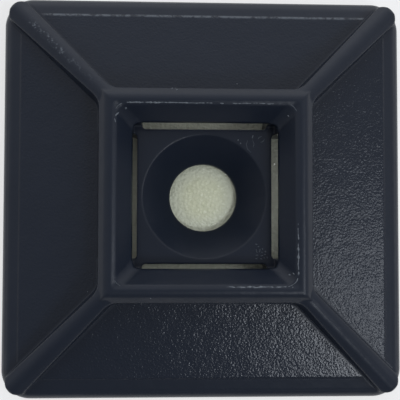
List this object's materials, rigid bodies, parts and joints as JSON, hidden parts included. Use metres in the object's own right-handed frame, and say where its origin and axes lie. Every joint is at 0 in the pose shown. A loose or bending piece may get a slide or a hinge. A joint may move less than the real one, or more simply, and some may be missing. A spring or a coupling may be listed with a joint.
{
  "type": "cable tie mount",
  "caption": "Square self-adhesive cable tie mount with a raised ring, four tie tunnels, diagonal ribs and a countersunk screw hole.",
  "frame": {"origin": "middle of the underside of the release liner", "axes": "+Z out of the mounting surface, along the screw hole; X and Y along the two tie directions"},
  "size_m": [0.028, 0.028, 0.0063],
  "materials": {
    "nylon": "black moulded nylon: spark-eroded grain on the four ramps, satin on the ring, ribs and rim",
    "foam": "cream closed-cell foam with adhesive on both faces",
    "liner_paper": "silicone-coated release paper"
  },
  "bodies": {
    "root": {"mount_body": "nylon", "foam_pad": "foam", "release_liner": "liner_paper"}
  },
  "joints": []
}
